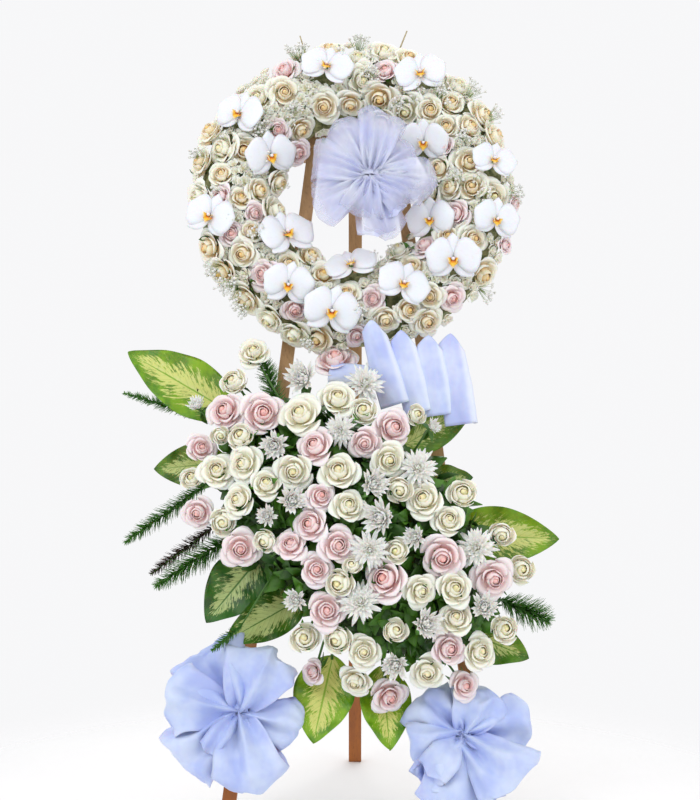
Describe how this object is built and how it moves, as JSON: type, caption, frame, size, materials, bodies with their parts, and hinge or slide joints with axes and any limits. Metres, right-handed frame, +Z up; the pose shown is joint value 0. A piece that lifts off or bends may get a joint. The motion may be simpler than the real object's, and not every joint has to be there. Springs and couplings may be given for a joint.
{
  "type": "funeral flower stand",
  "caption": "Wooden easel that carries a round flower wreath over a spray of roses, mums and leaves, with satin bows.",
  "frame": {"origin": "on the floor under the middle of the whole stand's outline", "axes": "+Z up, the flowers face -Y, the back leg stands on the +Y side, +X to the viewer's right"},
  "size_m": [0.9091, 0.7715, 1.6878],
  "materials": {
    "wood": "satin",
    "steel": "satin",
    "wet_foam": "matte",
    "tray_plastic": "matte",
    "cane": "matte",
    "greens": "matte",
    "leaf": "satin",
    "cream_bloom": "matte",
    "white_bloom": "matte",
    "pink_bloom": "matte",
    "satin": "satin",
    "tulle": "matte"
  },
  "bodies": {
    "stand": {"bow_left": "satin", "bow_right": "satin", "cane_left": "cane", "cane_right": "cane", "frond_dark": "greens", "frond_hanging": "greens", "frond_left": "greens", "frond_left_low": "greens", "frond_right": "greens", "frond_top": "greens", "frond_top_left": "greens", "hinge_pin": "steel", "leaf_bottom": "leaf", "leaf_bottom_right": "leaf", "leaf_left": "leaf", "leaf_low_left": "leaf", "leaf_lower_left": "leaf", "leaf_ribbon": "leaf", "leaf_right": "leaf", "leaf_right_low": "leaf", "leaf_right_upper": "leaf", "leaf_top_left": "leaf", "leg_left": "wood", "leg_right": "wood", "pink_roses_1": "pink_bloom", "pink_roses_10": "pink_bloom", "pink_roses_11": "pink_bloom", "pink_roses_12": "pink_bloom", "pink_roses_13": "pink_bloom", "pink_roses_2": "pink_bloom", "pink_roses_3": "pink_bloom", "pink_roses_4": "pink_bloom", "pink_roses_5": "pink_bloom", "pink_roses_6": "pink_bloom", "pink_roses_7": "pink_bloom", "pink_roses_8": "pink_bloom", "pink_roses_9": "pink_bloom", "pleated_ribbon": "satin", "rail_spray": "wood", "rail_top": "wood", "rail_wreath": "wood", "spray_foam": "wet_foam", "spray_greens": "greens", "spray_tray": "tray_plastic", "top_block": "wood", "tulle_bow": "tulle", "white_blooms_1": "white_bloom", "white_blooms_2": "white_bloom", "white_blooms_3": "white_bloom", "wreath_flowers_1": "cream_bloom", "wreath_flowers_2": "cream_bloom", "wreath_flowers_3": "cream_bloom", "wreath_flowers_4": "cream_bloom", "wreath_flowers_5": "cream_bloom", "wreath_flowers_6": "cream_bloom", "wreath_flowers_7": "cream_bloom", "wreath_flowers_8": "cream_bloom", "wreath_foam": "wet_foam"},
    "back_leg": {"back_leg": "wood"}
  },
  "joints": [
    {"name": "back_leg_hinge", "type": "hinge", "parent": "stand", "child": "back_leg", "pos_m": [0.038, 0.13288, 1.42763], "axis": [1, 0, 0], "range_deg": [-18, 0]}
  ]
}
